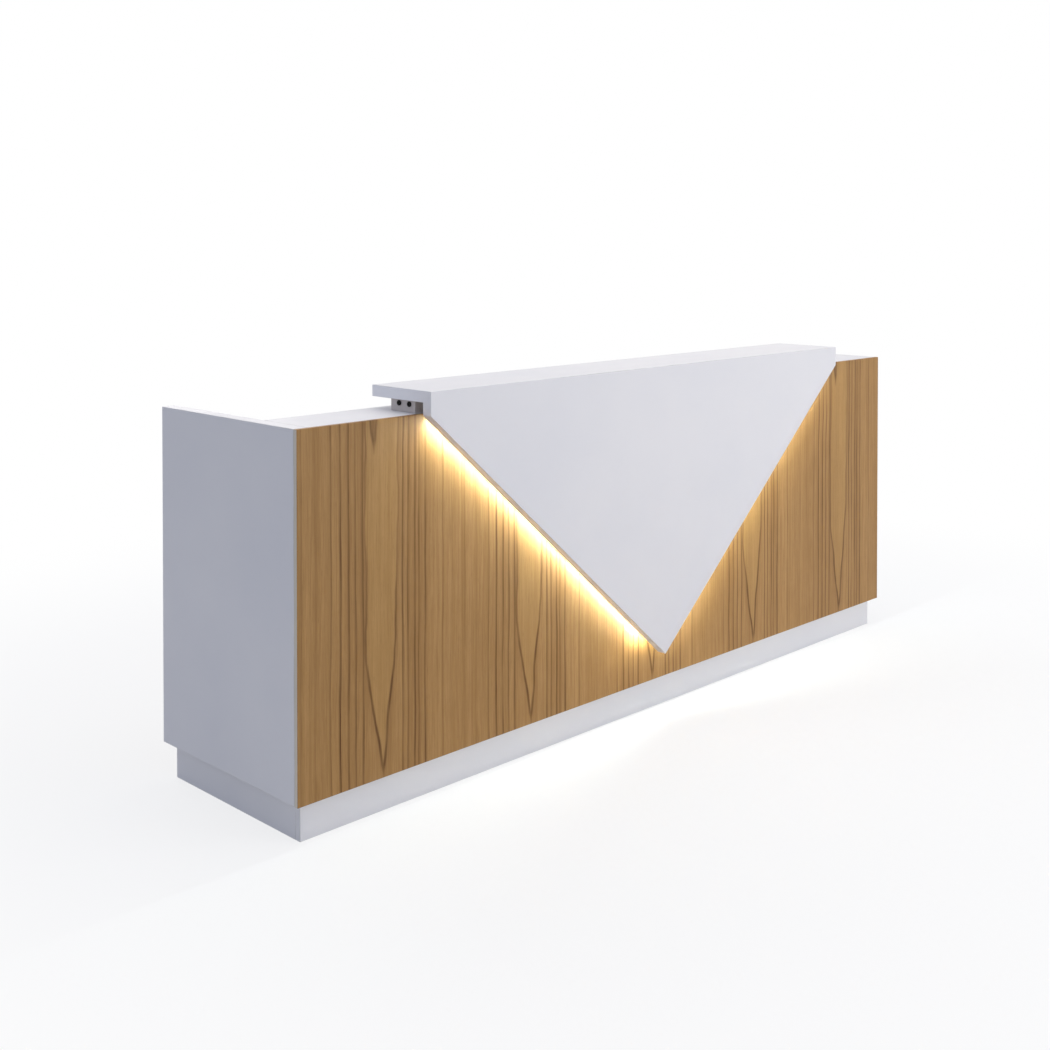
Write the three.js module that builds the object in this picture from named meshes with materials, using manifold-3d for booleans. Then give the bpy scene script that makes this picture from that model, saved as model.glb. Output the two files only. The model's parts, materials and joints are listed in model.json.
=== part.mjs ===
// Reception desk: a teak front on a recessed plinth.
// A raised white counter turns down into a V panel with light strips behind its slanting edges.
// Sizes are in millimetres. +X runs along the front to the visitor's right, +Y to the staff side, +Z up.
// The origin is on the floor, in the middle of the whole footprint.

import * as THREE from 'three';
import { mergeVertices } from 'three/addons/utils/BufferGeometryUtils.js';
import Module from 'manifold-3d';

const wasm = await Module();
wasm.setup();

// Driving dimensions of the body
const LENGTH = 2600;
const BODY_DEPTH = 600;
const BODY_TOP = 985;
const SIDE_THICKNESS = 40;
const VENEER_BOARD = 12;
const BOARD = 18;
const THICK_BOARD = 25;

// Driving dimensions of the plinth
const PLINTH_HEIGHT = 95;
const PLINTH_SETBACK = 25;

// Driving dimensions of the ledge, the counter and the V panel
const LEDGE_DEPTH = 190;
const RISER_HEIGHT = 32;
const RISER_DEPTH = 95;
const RISER_SETBACK = 20;
const RISER_END_INSET = 10;
const COUNTER_THICKNESS = 30;
const COUNTER_REAR_INSET = 10;
const VEE_HALF_WIDTH = 930;
const VEE_PROUD = 52;
const VEE_APEX_HEIGHT = 185;

// Driving dimensions of the staff side
const WORKTOP_HEIGHT = 750;
const PEDESTAL_WIDTH = 430;
const FRONTS_RECESS = 40;
const FRONT_GAP = 3;
const FRONT_BOTTOM_GAP = 2;
const FRONT_INNER_REVEAL = 1;
const CARCASS_GAP = 1;
const SMALL_DRAWER_FRONT = 155;
const DRAWER_TRAY_DEPTH = 480;
const TRAY_WALL = 12;
const RUNNER_LENGTH = 450;
const RUNNER_SPACE = 13;
const DIVIDER_OFFSET = 420;
const DIVIDER_DEPTH = 150;

// Clearance between pieces that turn or are cut to fit each other, and the overrun of a cutter past a face
const CLEARANCE = 0.3;
const OVERRUN = 1;

// Planes that follow from the driving dimensions
const HALF_LENGTH = LENGTH / 2;
const INNER_HALF = HALF_LENGTH - SIDE_THICKNESS;
const VEE_FACE = -(BODY_DEPTH + VEE_PROUD) / 2;
const VEE_BACK = VEE_FACE + COUNTER_THICKNESS;
const WOOD_FACE = VEE_FACE + VEE_PROUD;
const WOOD_BACK = WOOD_FACE + VENEER_BOARD;
const FRAME_BACK = WOOD_BACK + BOARD;
const REAR = WOOD_FACE + BODY_DEPTH;
const LEDGE_REAR = WOOD_FACE + LEDGE_DEPTH;
const LEDGE_UNDERSIDE = BODY_TOP - THICK_BOARD;
const COUNTER_UNDERSIDE = BODY_TOP + RISER_HEIGHT;
const COUNTER_TOP = COUNTER_UNDERSIDE + COUNTER_THICKNESS;
const COUNTER_REAR = LEDGE_REAR - COUNTER_REAR_INSET;
const VEE_SHOULDER = BODY_TOP;
const WORKTOP_UNDERSIDE = WORKTOP_HEIGHT - THICK_BOARD;
const FRONTS_FACE = REAR - FRONTS_RECESS;
const FRONTS_BACK = FRONTS_FACE - BOARD;
const CARCASS_REAR = FRONTS_BACK - CARCASS_GAP;
const PEDESTAL_INNER = INNER_HALF - PEDESTAL_WIDTH;
const PEDESTAL_CLEAR_WIDTH = PEDESTAL_WIDTH - BOARD;
const FRONTS_BOTTOM = PLINTH_HEIGHT + FRONT_BOTTOM_GAP;
const FRONTS_TOP = WORKTOP_UNDERSIDE - FRONT_GAP;
const DEEP_DRAWER_FRONT = FRONTS_TOP - FRONTS_BOTTOM - 2 * (SMALL_DRAWER_FRONT + FRONT_GAP);

// Finishes
function finish(color, roughness, metalness = 0) {
  return new THREE.MeshStandardMaterial({ color, roughness, metalness });
}

const WHITE_LAMINATE = finish(0xdfe2e8, 0.42);
const TEAK_VENEER = finish(0xa88458, 0.5);
const ALUMINIUM = finish(0xb9bcc0, 0.35, 1);
const STEEL = finish(0x9a9da1, 0.4, 1);
const BLACK_STEEL = finish(0x1b1b1d, 0.45, 0.6);
const OPAL_PLASTIC = finish(0xfff1cf, 0.6);
const GREY_PLASTIC = finish(0xc8cacc, 0.55);
const WHITE_PLASTIC = finish(0xf0f0ee, 0.4);

const desk = new THREE.Group();

// An extrusion is drawn in a plane and pulled along the third axis.
const axis = (x, y, z) => new THREE.Vector3(x, y, z);
const PULLED_ALONG_X = new THREE.Matrix4().makeBasis(axis(0, 1, 0), axis(0, 0, 1), axis(1, 0, 0));
const PULLED_TO_FRONT = new THREE.Matrix4().makeBasis(axis(1, 0, 0), axis(0, 0, 1), axis(0, -1, 0));

function addMesh(name, geometry, material, parent = desk) {
  const mesh = new THREE.Mesh(geometry, material);
  mesh.name = name;
  parent.add(mesh);
  return mesh;
}

function block([x0, x1], [y0, y1], [z0, z1]) {
  const geometry = new THREE.BoxGeometry(x1 - x0, y1 - y0, z1 - z0);
  return geometry.translate((x0 + x1) / 2, (y0 + y1) / 2, (z0 + z1) / 2);
}

function board(name, material, alongX, alongY, alongZ) {
  return addMesh(name, block(alongX, alongY, alongZ), material);
}

// The same span on the left (side -1) or on the right (side 1) of the desk, with its lower end first.
function mirrored(side, from, to) {
  return side < 0 ? [-to, -from] : [from, to];
}

function outline(points) {
  return new THREE.Shape(points.map(([x, y]) => new THREE.Vector2(x, y)));
}

function extrude(shape, depth, curveSegments = 24) {
  return new THREE.ExtrudeGeometry(shape, { depth, bevelEnabled: false, curveSegments });
}

function lathe(points, segments) {
  const profile = points.map(([radius, height]) => new THREE.Vector2(radius, height));
  return new THREE.LatheGeometry(profile, segments);
}

function rodAlongX(radius, length, segments) {
  return new THREE.CylinderGeometry(radius, radius, length, segments).rotateZ(Math.PI / 2);
}

function solid(geometry) {
  const bare = geometry.clone();
  bare.deleteAttribute('normal');
  bare.deleteAttribute('uv');
  const merged = mergeVertices(bare);
  const vertProperties = new Float32Array(merged.attributes.position.array);
  const triVerts = new Uint32Array(merged.index.array);
  return new wasm.Manifold(new wasm.Mesh({ numProp: 3, vertProperties, triVerts }));
}

function geometryOf(manifold) {
  const mesh = manifold.getMesh();
  const geometry = new THREE.BufferGeometry();
  geometry.setAttribute('position', new THREE.BufferAttribute(mesh.vertProperties, 3));
  geometry.setIndex(new THREE.BufferAttribute(mesh.triVerts, 1));
  geometry.computeVertexNormals();
  return geometry;
}

const SIDES = [['left', -1], ['right', 1]];

// Front: the veneered panel covers the ends of the side panels and is fixed to a structural board behind it.
function addFront() {
  const height = [PLINTH_HEIGHT, BODY_TOP];
  board('front_panel', TEAK_VENEER, [-HALF_LENGTH, HALF_LENGTH], [WOOD_FACE, WOOD_BACK], height);
  const inner = [-INNER_HALF, INNER_HALF];
  board('front_board', WHITE_LAMINATE, inner, [WOOD_BACK, FRAME_BACK], [PLINTH_HEIGHT, LEDGE_UNDERSIDE]);
  board('top_ledge', WHITE_LAMINATE, inner, [WOOD_BACK, LEDGE_REAR], [LEDGE_UNDERSIDE, BODY_TOP]);
  for (const [word, side] of SIDES) {
    const across = mirrored(side, INNER_HALF, HALF_LENGTH);
    board(`side_panel_${word}`, WHITE_LAMINATE, across, [WOOD_BACK, REAR], height);
  }
}

// Plinth: boards on the floor, set back all round under the body.
function addPlinth() {
  const height = [0, PLINTH_HEIGHT];
  const outer = HALF_LENGTH - PLINTH_SETBACK;
  const face = WOOD_FACE + PLINTH_SETBACK;
  board('plinth_front', WHITE_LAMINATE, [-outer, outer], [face, face + BOARD], height);
  const returnFace = FRONTS_FACE - PLINTH_SETBACK;
  for (const [word, side] of SIDES) {
    const end = mirrored(side, outer - BOARD, outer);
    board(`plinth_${word}`, WHITE_LAMINATE, end, [face + BOARD, REAR - PLINTH_SETBACK], height);
    const across = mirrored(side, PEDESTAL_INNER + BOARD, outer - BOARD);
    board(`plinth_rear_${word}`, WHITE_LAMINATE, across, [returnFace - BOARD, returnFace], height);
  }
}

// Counter and V panel: two boards that meet in a mitre along the top front edge.
// Battens hold the V off the veneer, and its slanting edges start level with the top of the body.
const BATTEN_HEIGHT = 60;
const VEE_BATTENS = [['upper', 700, 890], ['lower', 150, 410]];

function addCounterAndVee() {
  const counterProfile = outline([
    [VEE_FACE, COUNTER_TOP],
    [VEE_BACK, COUNTER_UNDERSIDE],
    [COUNTER_REAR, COUNTER_UNDERSIDE],
    [COUNTER_REAR, COUNTER_TOP],
  ]);
  const counter = extrude(counterProfile, 2 * VEE_HALF_WIDTH).applyMatrix4(PULLED_ALONG_X);
  addMesh('counter_top', counter.translate(-VEE_HALF_WIDTH, 0, 0), WHITE_LAMINATE);

  const veeFace = outline([
    [-VEE_HALF_WIDTH, COUNTER_TOP],
    [-VEE_HALF_WIDTH, VEE_SHOULDER],
    [0, VEE_APEX_HEIGHT],
    [VEE_HALF_WIDTH, VEE_SHOULDER],
    [VEE_HALF_WIDTH, COUNTER_TOP],
  ]);
  const slab = extrude(veeFace, COUNTER_THICKNESS).applyMatrix4(PULLED_TO_FRONT).translate(0, VEE_BACK, 0);
  const mitreGap = 2 * CLEARANCE;
  const mitreWaste = outline([
    [VEE_FACE - COUNTER_THICKNESS, COUNTER_TOP + COUNTER_THICKNESS - mitreGap],
    [VEE_BACK + COUNTER_THICKNESS, COUNTER_UNDERSIDE - COUNTER_THICKNESS - mitreGap],
    [VEE_BACK + COUNTER_THICKNESS, COUNTER_TOP + COUNTER_THICKNESS],
  ]);
  const waste = extrude(mitreWaste, 2 * (VEE_HALF_WIDTH + OVERRUN)).applyMatrix4(PULLED_ALONG_X);
  waste.translate(-VEE_HALF_WIDTH - OVERRUN, 0, 0);
  addMesh('vee_panel', geometryOf(solid(slab).subtract(solid(waste))), WHITE_LAMINATE);

  for (const [word, halfLength, bottom] of VEE_BATTENS) {
    board(`vee_batten_${word}`, WHITE_LAMINATE, [-halfLength, halfLength],
      [VEE_BACK, WOOD_FACE], [bottom, bottom + BATTEN_HEIGHT]);
  }
}

// Riser: a low block on the ledge that carries the counter, with two connector bolts in each end.
const BOLT_SHANK_RADIUS = 3.5;
const BOLT_SHANK_LENGTH = 30;
const BOLT_HEAD_RADIUS = 7;
const BOLT_HEAD_HEIGHT = 4;
const BOLT_CHAMFER = 1;
const BOLT_SOCKET_RADIUS = 3;
const BOLT_SOCKET_DEPTH = 2.5;
const BOLT_SEGMENTS = 20;
const BOLT_RISE = 22;
const BOLT_OFFSETS = [['front', 21], ['rear', 61]];

function boltGeometry() {
  return lathe([
    [0, -BOLT_SHANK_LENGTH],
    [BOLT_SHANK_RADIUS, -BOLT_SHANK_LENGTH],
    [BOLT_SHANK_RADIUS, 0],
    [BOLT_HEAD_RADIUS, 0],
    [BOLT_HEAD_RADIUS, BOLT_HEAD_HEIGHT - BOLT_CHAMFER],
    [BOLT_HEAD_RADIUS - BOLT_CHAMFER, BOLT_HEAD_HEIGHT],
    [BOLT_SOCKET_RADIUS, BOLT_HEAD_HEIGHT],
    [BOLT_SOCKET_RADIUS, BOLT_HEAD_HEIGHT - BOLT_SOCKET_DEPTH],
    [0, BOLT_HEAD_HEIGHT - BOLT_SOCKET_DEPTH],
  ], BOLT_SEGMENTS);
}

function addRiser() {
  const half = VEE_HALF_WIDTH - RISER_END_INSET;
  const front = WOOD_FACE + RISER_SETBACK;
  const boltHeight = BODY_TOP + BOLT_RISE;
  const holeRadius = BOLT_SHANK_RADIUS + 2 * CLEARANCE;
  const holeLength = BOLT_SHANK_LENGTH + 2;
  let riser = solid(block([-half, half], [front, front + RISER_DEPTH], [BODY_TOP, COUNTER_UNDERSIDE]));
  for (const [word, side] of SIDES) {
    for (const [place, offset] of BOLT_OFFSETS) {
      const hole = rodAlongX(holeRadius, 2 * holeLength, BOLT_SEGMENTS);
      riser = riser.subtract(solid(hole.translate(side * half, front + offset, boltHeight)));
      const bolt = addMesh(`riser_bolt_${word}_${place}`, boltGeometry(), BLACK_STEEL);
      bolt.rotation.z = -side * Math.PI / 2;
      bolt.position.set(side * (half + CLEARANCE), front + offset, boltHeight);
    }
  }
  addMesh('riser', geometryOf(riser), WHITE_LAMINATE);
}

// Light strips: an aluminium channel along each slanting edge, on the back of the V and open to the outside.
const CHANNEL_HEIGHT = 16;
const CHANNEL_DEPTH = 12;
const CHANNEL_WALL = 1.25;
const CHANNEL_EDGE_INSET = 12;
const CHANNEL_TOP_MARGIN = 40;
const CHANNEL_APEX_MARGIN = 75;

function addLightStrips() {
  const slant = Math.hypot(VEE_HALF_WIDTH, VEE_SHOULDER - VEE_APEX_HEIGHT);
  const angle = Math.atan2(VEE_SHOULDER - VEE_APEX_HEIGHT, VEE_HALF_WIDTH);
  const stripLength = slant - CHANNEL_TOP_MARGIN - CHANNEL_APEX_MARGIN;
  const lip = CHANNEL_DEPTH - CHANNEL_WALL;
  const channelProfile = outline([
    [0, 0],
    [0, CHANNEL_WALL],
    [CHANNEL_HEIGHT - CHANNEL_WALL, CHANNEL_WALL],
    [CHANNEL_HEIGHT - CHANNEL_WALL, lip],
    [0, lip],
    [0, CHANNEL_DEPTH],
    [CHANNEL_HEIGHT, CHANNEL_DEPTH],
    [CHANNEL_HEIGHT, 0],
  ]);
  const diffuserProfile = outline([
    [0, CHANNEL_WALL + CLEARANCE],
    [0, lip - CLEARANCE],
    [CHANNEL_HEIGHT - CHANNEL_WALL - CLEARANCE, lip - CLEARANCE],
    [CHANNEL_HEIGHT - CHANNEL_WALL - CLEARANCE, CHANNEL_WALL + CLEARANCE],
  ]);
  // In the strip's own frame +X runs along the slanting edge, +Z into the V, and +Y from the V to the veneer.
  const profileToStrip = new THREE.Matrix4().makeBasis(axis(0, 0, 1), axis(0, 1, 0), axis(-1, 0, 0));
  for (const [word, side] of SIDES) {
    const strip = new THREE.Group();
    strip.position.set(side * VEE_HALF_WIDTH, VEE_BACK + CLEARANCE, VEE_SHOULDER);
    strip.rotation.y = side < 0 ? angle : -angle;
    desk.add(strip);
    const from = CHANNEL_TOP_MARGIN;
    const nearEnd = side < 0 ? from + stripLength : -from;
    for (const [node, profile, material] of [
      ['led_channel', channelProfile, ALUMINIUM],
      ['led_diffuser', diffuserProfile, OPAL_PLASTIC],
    ]) {
      const geometry = extrude(profile, stripLength).applyMatrix4(profileToStrip);
      geometry.translate(nearEnd, 0, CHANNEL_EDGE_INSET);
      addMesh(`${node}_${word}`, geometry, material, strip);
    }
  }
}

// Driver of the light strips: a plastic case on a fixing plate, with a cable gland at each end.
function addDriver() {
  const caseX = [420, 580];
  const caseZ = [560, 606];
  const caseDepth = 30;
  const plateDepth = 4;
  const plateEar = 16;
  const glandRadius = 7;
  const glandLength = 14;
  const glandY = FRAME_BACK + (plateDepth + caseDepth) / 2;
  const glandZ = (caseZ[0] + caseZ[1]) / 2;
  let driver = solid(block(caseX, [FRAME_BACK, FRAME_BACK + caseDepth], caseZ));
  const plateX = [caseX[0] - plateEar, caseX[1] + plateEar];
  driver = driver.add(solid(block(plateX, [FRAME_BACK, FRAME_BACK + plateDepth], caseZ)));
  for (const end of caseX) {
    const gland = rodAlongX(glandRadius, 2 * glandLength, 16);
    driver = driver.add(solid(gland.translate(end, glandY, glandZ)));
  }
  addMesh('led_driver', geometryOf(driver), GREY_PLASTIC);
}

// Light switch: a rocker on an axle in a shallow housing, under the ledge on the staff side.
const SWITCH_X = 330;
const SWITCH_Z = 850;
const SWITCH_HOUSING = { halfWidth: 23, halfHeight: 30, depth: 14 };
const SWITCH_POCKET = { halfWidth: 12, halfHeight: 17, depth: 10 };
const ROCKER = { halfWidth: 11.5, halfHeight: 15, back: -2, edge: 3, ridge: 4.5, restTilt: 8 };
const ROCKER_AXLE = { radius: 1.5, depth: 4, reachIntoWall: 3, segments: 16 };

function addSwitch() {
  const face = FRAME_BACK + SWITCH_HOUSING.depth;
  const axleY = face - ROCKER_AXLE.depth;
  const around = (centre, half) => [centre - half, centre + half];
  const housing = solid(block(
    around(SWITCH_X, SWITCH_HOUSING.halfWidth), [FRAME_BACK, face],
    around(SWITCH_Z, SWITCH_HOUSING.halfHeight)));
  const pocket = solid(block(
    around(SWITCH_X, SWITCH_POCKET.halfWidth), [face - SWITCH_POCKET.depth, face + OVERRUN],
    around(SWITCH_Z, SWITCH_POCKET.halfHeight)));
  const axleLength = 2 * (SWITCH_POCKET.halfWidth + ROCKER_AXLE.reachIntoWall);
  const axleHole = rodAlongX(ROCKER_AXLE.radius + CLEARANCE, axleLength + 2 * OVERRUN, ROCKER_AXLE.segments);
  axleHole.translate(SWITCH_X, axleY, SWITCH_Z);
  addMesh('switch_housing', geometryOf(housing.subtract(pocket).subtract(solid(axleHole))), WHITE_PLASTIC);

  // The rocker's top is two flat faces that meet in a shallow ridge above the axle.
  const rockerProfile = outline([
    [ROCKER.back, -ROCKER.halfHeight],
    [ROCKER.edge, -ROCKER.halfHeight],
    [ROCKER.ridge, 0],
    [ROCKER.edge, ROCKER.halfHeight],
    [ROCKER.back, ROCKER.halfHeight],
  ]);
  const body = extrude(rockerProfile, 2 * ROCKER.halfWidth).applyMatrix4(PULLED_ALONG_X);
  const axle = rodAlongX(ROCKER_AXLE.radius, axleLength, ROCKER_AXLE.segments);
  const rocker = solid(body.translate(-ROCKER.halfWidth, 0, 0)).add(solid(axle));
  const mesh = addMesh('switch_rocker', geometryOf(rocker), WHITE_PLASTIC);
  mesh.position.set(SWITCH_X, axleY, SWITCH_Z);
  mesh.rotation.x = THREE.MathUtils.degToRad(-ROCKER.restTilt);
}

// Worktop: one board between the side panels, with two round cable holes near the front board.
const GROMMET_X = 640;
const GROMMET_Y = WOOD_FACE + 260;
const GROMMET_HOLE_RADIUS = 30;
const GROMMET_SEGMENTS = 32;

function addWorktop() {
  const shape = outline([
    [-INNER_HALF, FRAME_BACK],
    [INNER_HALF, FRAME_BACK],
    [INNER_HALF, REAR],
    [-INNER_HALF, REAR],
  ]);
  for (const [, side] of SIDES) {
    const hole = new THREE.Path();
    hole.absarc(side * GROMMET_X, GROMMET_Y, GROMMET_HOLE_RADIUS, 0, 2 * Math.PI);
    shape.holes.push(hole);
  }
  const top = extrude(shape, THICK_BOARD, GROMMET_SEGMENTS).translate(0, 0, WORKTOP_UNDERSIDE);
  addMesh('worktop', top, WHITE_LAMINATE);

  const cleatHeight = 60;
  board('worktop_cleat', WHITE_LAMINATE, [-PEDESTAL_INNER, PEDESTAL_INNER],
    [FRAME_BACK, FRAME_BACK + BOARD], [WORKTOP_UNDERSIDE - cleatHeight, WORKTOP_UNDERSIDE]);
  for (const [word, side] of SIDES) {
    const across = mirrored(side, DIVIDER_OFFSET - BOARD / 2, DIVIDER_OFFSET + BOARD / 2);
    board(`ledge_divider_${word}`, WHITE_LAMINATE, across,
      [FRAME_BACK, FRAME_BACK + DIVIDER_DEPTH], [WORKTOP_HEIGHT, LEDGE_UNDERSIDE]);
  }
}

// Cable grommet: a flanged ring in the worktop, and a cap on its inner lip with a notch for the cables.
function addGrommets() {
  const sleevePlay = 0.5;
  const sleeve = GROMMET_HOLE_RADIUS - sleevePlay;
  const bore = 26;
  const lip = 23;
  const flange = 36;
  const flangeHeight = 3;
  const flangeChamfer = 1;
  const capThickness = 3;
  const sleeveDepth = 20;
  const ringProfile = [
    [lip, -sleeveDepth],
    [sleeve, -sleeveDepth],
    [sleeve, 0],
    [flange, 0],
    [flange, flangeHeight - flangeChamfer],
    [flange - flangeChamfer, flangeHeight],
    [bore, flangeHeight],
    [bore, flangeHeight - capThickness],
    [lip, flangeHeight - capThickness],
    [lip, -sleeveDepth],
  ];
  const notchHalfWidth = 9;
  const notchDepth = 16;
  const capRadius = bore - 2 * CLEARANCE;
  const notchAngle = Math.asin(notchHalfWidth / capRadius);
  for (const [word, side] of SIDES) {
    const ring = lathe(ringProfile, GROMMET_SEGMENTS).rotateX(Math.PI / 2);
    ring.translate(side * GROMMET_X, GROMMET_Y, WORKTOP_HEIGHT);
    addMesh(`grommet_ring_${word}`, ring, GREY_PLASTIC);

    const cap = new THREE.Shape();
    cap.absarc(0, 0, capRadius, -Math.PI / 2 + notchAngle, 1.5 * Math.PI - notchAngle);
    cap.lineTo(-notchHalfWidth, notchDepth - capRadius);
    cap.lineTo(notchHalfWidth, notchDepth - capRadius);
    cap.closePath();
    const lid = extrude(cap, capThickness, GROMMET_SEGMENTS);
    lid.translate(side * GROMMET_X, GROMMET_Y, WORKTOP_HEIGHT + flangeHeight - capThickness);
    addMesh(`grommet_cap_${word}`, lid, GREY_PLASTIC);
  }
}

// Pedestals: an inner side that is notched over the front plinth and stands on the floor, and a base board.
function addPedestals() {
  const plinthBack = WOOD_FACE + PLINTH_SETBACK + BOARD;
  const sideOutline = outline([
    [plinthBack, 0],
    [CARCASS_REAR, 0],
    [CARCASS_REAR, WORKTOP_UNDERSIDE],
    [FRAME_BACK, WORKTOP_UNDERSIDE],
    [FRAME_BACK, PLINTH_HEIGHT],
    [plinthBack, PLINTH_HEIGHT],
  ]);
  for (const [word, side] of SIDES) {
    const sideBoard = extrude(sideOutline, BOARD).applyMatrix4(PULLED_ALONG_X);
    const [low] = mirrored(side, PEDESTAL_INNER, PEDESTAL_INNER + BOARD);
    addMesh(`pedestal_side_${word}`, sideBoard.translate(low, 0, 0), WHITE_LAMINATE);
    const across = mirrored(side, PEDESTAL_INNER + BOARD, INNER_HALF);
    board(`pedestal_base_${word}`, WHITE_LAMINATE, across,
      [FRAME_BACK, CARCASS_REAR], [PLINTH_HEIGHT, PLINTH_HEIGHT + BOARD]);
  }
}

// Bow handle: two posts and a grip bar in one piece, drawn from above and pulled to its thickness.
const HANDLE_LENGTH = 160;
const HANDLE_PROUD = 32;
const HANDLE_BAR = 10;

function handleGeometry() {
  const half = HANDLE_LENGTH / 2;
  const shape = outline([
    [-half, 0],
    [-half + HANDLE_BAR, 0],
    [-half + HANDLE_BAR, HANDLE_PROUD - HANDLE_BAR],
    [half - HANDLE_BAR, HANDLE_PROUD - HANDLE_BAR],
    [half - HANDLE_BAR, 0],
    [half, 0],
    [half, HANDLE_PROUD],
    [-half, HANDLE_PROUD],
  ]);
  return extrude(shape, HANDLE_BAR).translate(0, 0, -HANDLE_BAR / 2);
}

// Drawers: two shallow ones over a deep one, in the left pedestal.
// Each is a front, a tray, a handle and two runners.
const TRAY_LIFT = 22;
const TRAY_FLOOR = 10;
const RUNNER_HEIGHT = 45;
const RUNNER_LIFT = 25;
const RUNNER_WALL = 1.5;
const RUNNER_PLAY = 0.5;
const RUNNER_SETBACK = 14;

function runnerGeometry(openTo) {
  const thickness = RUNNER_SPACE - RUNNER_PLAY;
  const profile = outline([
    [0, 0],
    [0, RUNNER_HEIGHT],
    [openTo * thickness, RUNNER_HEIGHT],
    [openTo * thickness, RUNNER_HEIGHT - RUNNER_WALL],
    [openTo * RUNNER_WALL, RUNNER_HEIGHT - RUNNER_WALL],
    [openTo * RUNNER_WALL, RUNNER_WALL],
    [openTo * thickness, RUNNER_WALL],
    [openTo * thickness, 0],
  ]);
  return extrude(profile, RUNNER_LENGTH).applyMatrix4(PULLED_TO_FRONT);
}

function addDrawer(word, frontHeight, trayHeight, bottom) {
  const left = -INNER_HALF;
  const right = left + PEDESTAL_CLEAR_WIDTH;
  const frontX = [left + FRONT_GAP, -PEDESTAL_INNER - FRONT_INNER_REVEAL];
  const middle = (frontX[0] + frontX[1]) / 2;
  board(`drawer_front_${word}`, TEAK_VENEER, frontX,
    [FRONTS_BACK, FRONTS_FACE], [bottom, bottom + frontHeight]);

  const trayBottom = bottom + TRAY_LIFT;
  const trayX = [left + RUNNER_SPACE, right - RUNNER_SPACE];
  const trayY = [FRONTS_BACK - DRAWER_TRAY_DEPTH, FRONTS_BACK];
  const outer = solid(block(trayX, trayY, [trayBottom, trayBottom + trayHeight]));
  const inside = solid(block(
    [trayX[0] + TRAY_WALL, trayX[1] - TRAY_WALL], [trayY[0] + TRAY_WALL, trayY[1] - TRAY_WALL],
    [trayBottom + TRAY_FLOOR, trayBottom + trayHeight + OVERRUN]));
  addMesh(`drawer_tray_${word}`, geometryOf(outer.subtract(inside)), GREY_PLASTIC);

  const handle = addMesh(`drawer_handle_${word}`, handleGeometry(), ALUMINIUM);
  handle.position.set(middle, FRONTS_FACE, bottom + frontHeight - SMALL_DRAWER_FRONT / 2);

  for (const [end, x, openTo] of [['left', left, 1], ['right', right, -1]]) {
    const runner = addMesh(`drawer_runner_${word}_${end}`, runnerGeometry(openTo), STEEL);
    runner.position.set(x, FRONTS_BACK - RUNNER_SETBACK, trayBottom + RUNNER_LIFT);
  }
}

function addDrawers() {
  const shallowTray = 100;
  const deepTray = 240;
  const middleBottom = FRONTS_BOTTOM + DEEP_DRAWER_FRONT + FRONT_GAP;
  addDrawer('bottom', DEEP_DRAWER_FRONT, deepTray, FRONTS_BOTTOM);
  addDrawer('middle', SMALL_DRAWER_FRONT, shallowTray, middleBottom);
  addDrawer('top', SMALL_DRAWER_FRONT, shallowTray, middleBottom + SMALL_DRAWER_FRONT + FRONT_GAP);
}

// Cupboard: a door on two butt hinges in the right pedestal, with one shelf behind it.
const HINGE_OFFSET = 4;
const HINGE_X = INNER_HALF - HINGE_OFFSET;
const HINGE_Y = FRONTS_FACE + HINGE_OFFSET;
const HINGE_HEIGHT = 60;
const HINGE_FROM_EDGE = 90;
const LEAF_THICKNESS = 2;
const LEAF_WIDTH = 28;
const KNUCKLE_RADIUS = 3.5;
const PIN_RADIUS = 1.5;
const KNUCKLE_HEIGHT = HINGE_HEIGHT / 3;
const KNUCKLE_SEGMENTS = 24;
const PIN_END_INSET = 1;

function upright(radius, from, to) {
  const geometry = new THREE.CylinderGeometry(radius, radius, to - from, KNUCKLE_SEGMENTS);
  return solid(geometry.rotateX(Math.PI / 2).translate(HINGE_X, HINGE_Y, (from + to) / 2));
}

function addHinge(word, middle) {
  const low = middle - HINGE_HEIGHT / 2;
  const high = middle + HINGE_HEIGHT / 2;
  const knuckleLow = low + KNUCKLE_HEIGHT;
  const knuckleHigh = high - KNUCKLE_HEIGHT;
  const leafStart = KNUCKLE_RADIUS + CLEARANCE;

  // The fixed leaf lies on the side panel and carries the outer knuckles and the pin.
  const fixedX = [INNER_HALF - LEAF_THICKNESS, INNER_HALF];
  const fixedY = [HINGE_Y + leafStart, HINGE_Y + leafStart + LEAF_WIDTH];
  let fixed = solid(block(fixedX, fixedY, [low, high]));
  for (const span of [[low, knuckleLow], [knuckleHigh, high]]) {
    const tab = solid(block(fixedX, [HINGE_Y, HINGE_Y + leafStart + OVERRUN], span));
    fixed = fixed.add(tab).add(upright(KNUCKLE_RADIUS, ...span));
  }
  fixed = fixed.add(upright(PIN_RADIUS, low + PIN_END_INSET, high - PIN_END_INSET));
  addMesh(`hinge_fixed_leaf_${word}`, geometryOf(fixed), STEEL);

  // The door leaf lies on the door's face, and its middle knuckle turns on the pin.
  const doorX = [HINGE_X - leafStart - LEAF_WIDTH, HINGE_X - leafStart];
  const doorY = [FRONTS_FACE, FRONTS_FACE + LEAF_THICKNESS];
  const knuckle = [knuckleLow + CLEARANCE, knuckleHigh - CLEARANCE];
  const doorTab = solid(block([HINGE_X - leafStart - OVERRUN, HINGE_X], doorY, knuckle));
  const doorPlate = solid(block(doorX, doorY, [low, high]));
  const doorLeaf = doorPlate.add(doorTab).add(upright(KNUCKLE_RADIUS, ...knuckle));
  const pinHole = upright(PIN_RADIUS + CLEARANCE, low - OVERRUN, high + OVERRUN);
  addMesh(`hinge_door_leaf_${word}`, geometryOf(doorLeaf.subtract(pinHole)), STEEL);
}

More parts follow.
